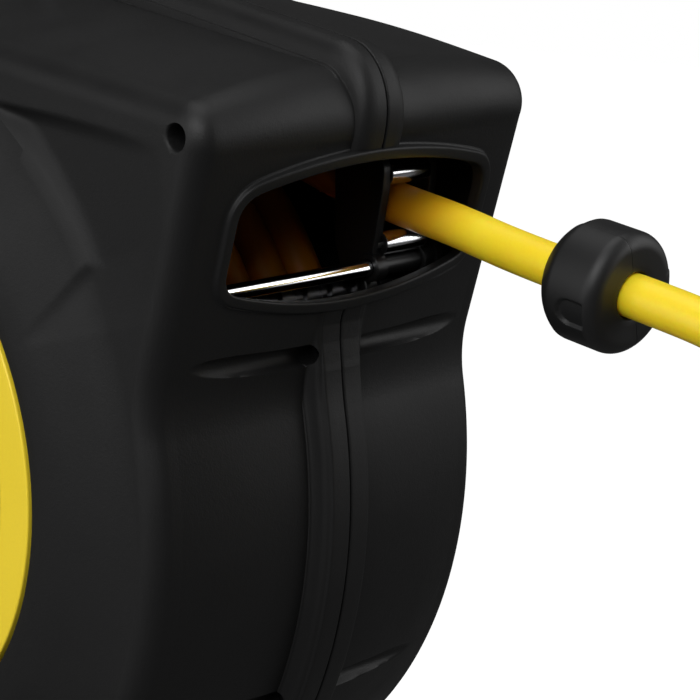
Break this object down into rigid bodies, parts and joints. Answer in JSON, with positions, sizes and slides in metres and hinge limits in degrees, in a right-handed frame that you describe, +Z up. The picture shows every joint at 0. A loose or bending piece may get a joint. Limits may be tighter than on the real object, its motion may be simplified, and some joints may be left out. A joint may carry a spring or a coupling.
{
  "type": "retractable hose reel",
  "caption": "Wall-mounted spring-rewind reel: a round two-part casing on a swivel bracket, a spring-driven drum, a travelling roller guide and a hose with a stopper.",
  "frame": {"origin": "centre of the wall bracket bolt pattern, on the wall face", "axes": "+X forward from the wall, the way the hose leaves; +Y along the drum axis, towards the inlet; +Z up"},
  "size_m": [0.7285, 0.1928, 0.435],
  "materials": {
    "casing": "satin black moulded plastic",
    "handle": "satin black moulded plastic",
    "inner_plastic": "dark grey moulded plastic",
    "cover": "yellow moulded plastic",
    "bracket": "black powder coat",
    "block": "black powder coat on cast aluminium",
    "steel": "plain steel",
    "screw": "zinc plated steel",
    "black_steel": "black oxide steel",
    "chrome": "polished chrome",
    "brass": "turned brass",
    "bronze": "sintered bronze",
    "gear": "natural nylon",
    "seal": "black rubber",
    "stopper": "satin black rubber",
    "hose": "satin yellow hose",
    "carriage": "satin black moulded plastic"
  },
  "bodies": {
    "bracket": {"wall_bracket": "bracket", "pivot_rod": "steel", "pivot_clips": "steel"},
    "casing": {"left_shell": "casing", "right_shell": "casing", "casing_screws": "screw", "carry_handle": "handle", "handle_bolts": "screw", "left_bearing_plate": "inner_plastic", "right_bearing_plate": "inner_plastic", "plate_screws": "screw", "left_side_disc": "cover", "right_side_disc": "cover", "hinge_block": "block", "hinge_bolts": "screw", "pivot_bushes": "bronze", "axle": "steel", "axle_rings": "steel", "spring_arbor": "steel", "power_spring": "steel", "inlet_elbow": "brass", "idler_stud": "steel", "left_guide_bracket": "inner_plastic", "right_guide_bracket": "inner_plastic", "screw_bearings": "bronze", "guide_rod": "chrome", "pawl_stud": "steel", "pawl_spring": "steel"},
    "drum": {"drum_core": "inner_plastic", "left_flange": "inner_plastic", "right_flange": "inner_plastic", "flange_screws": "screw", "drum_bushes": "bronze", "spring_cassette": "steel", "cassette_cover": "steel", "swivel_housing": "brass", "swivel_seals": "seal", "hose_pipe": "brass", "drum_gear": "inner_plastic", "hose_inner_layers": "hose", "hose_winding": "hose"},
    "idler": {"idler_gear": "gear", "idler_bush": "bronze"},
    "screw": {"screw_gear": "gear", "traverse_screw": "black_steel"},
    "guide": {"carriage": "carriage", "groove_follower": "bronze", "roller_pins": "steel", "hose_lead": "hose", "stopper_left": "stopper", "stopper_right": "stopper", "stopper_screws": "screw", "bend_restrictor": "stopper", "hose_ferrule": "brass", "male_fitting": "brass"},
    "upper_roller": {"upper_roller": "chrome"},
    "lower_roller": {"lower_roller": "chrome"},
    "pawl": {"pawl": "steel"}
  },
  "joints": [
    {"name": "swivel", "type": "hinge", "parent": "bracket", "child": "casing", "pos_m": [0.11, 0, 0], "axis": [0, 0, 1], "range_deg": [-90, 90]},
    {"name": "drum_spin", "type": "hinge", "parent": "casing", "child": "drum", "pos_m": [0.32, 0, 0], "axis": [0, 1, 0], "range_deg": [0, 1935], "stiffness_Nm_per_rad": 0.05, "springref_deg": -572.96, "deforming": ["hose_winding"]},
    {"name": "idler_spin", "type": "hinge", "parent": "casing", "child": "idler", "pos_m": [0.39636, 0, 0.0401], "axis": [0, 1, 0], "range_deg": [-434, 0]},
    {"name": "screw_spin", "type": "hinge", "parent": "casing", "child": "screw", "pos_m": [0.474, 0, 0.068], "axis": [0, 1, 0], "range_deg": [0, 2545]},
    {"name": "guide_slide", "type": "slide", "parent": "casing", "child": "guide", "axis": [0, 1, 0], "range_m": [-0.0865, 0]},
    {"name": "upper_roller_spin", "type": "hinge", "parent": "guide", "child": "upper_roller", "pos_m": [0.488, 0.043, 0.1118], "axis": [0, 1, 0], "continuous": true},
    {"name": "lower_roller_spin", "type": "hinge", "parent": "guide", "child": "lower_roller", "pos_m": [0.4852, 0.043, 0.08575], "axis": [0, 1, 0], "continuous": true},
    {"name": "pawl_pivot", "type": "hinge", "parent": "casing", "child": "pawl", "pos_m": [0.23209, -0.063, -0.04099], "axis": [0, 1, 0], "range_deg": [-20, 0], "stiffness_Nm_per_rad": 0.02}
  ],
  "couplings": [
    {"joint": "idler_spin", "follows": "drum_spin", "ratio": -0.2234},
    {"joint": "screw_spin", "follows": "drum_spin", "ratio": 1.3125},
    {"joint": "guide_slide", "follows": "drum_spin", "m_per_rad": -0.0025465}
  ]
}
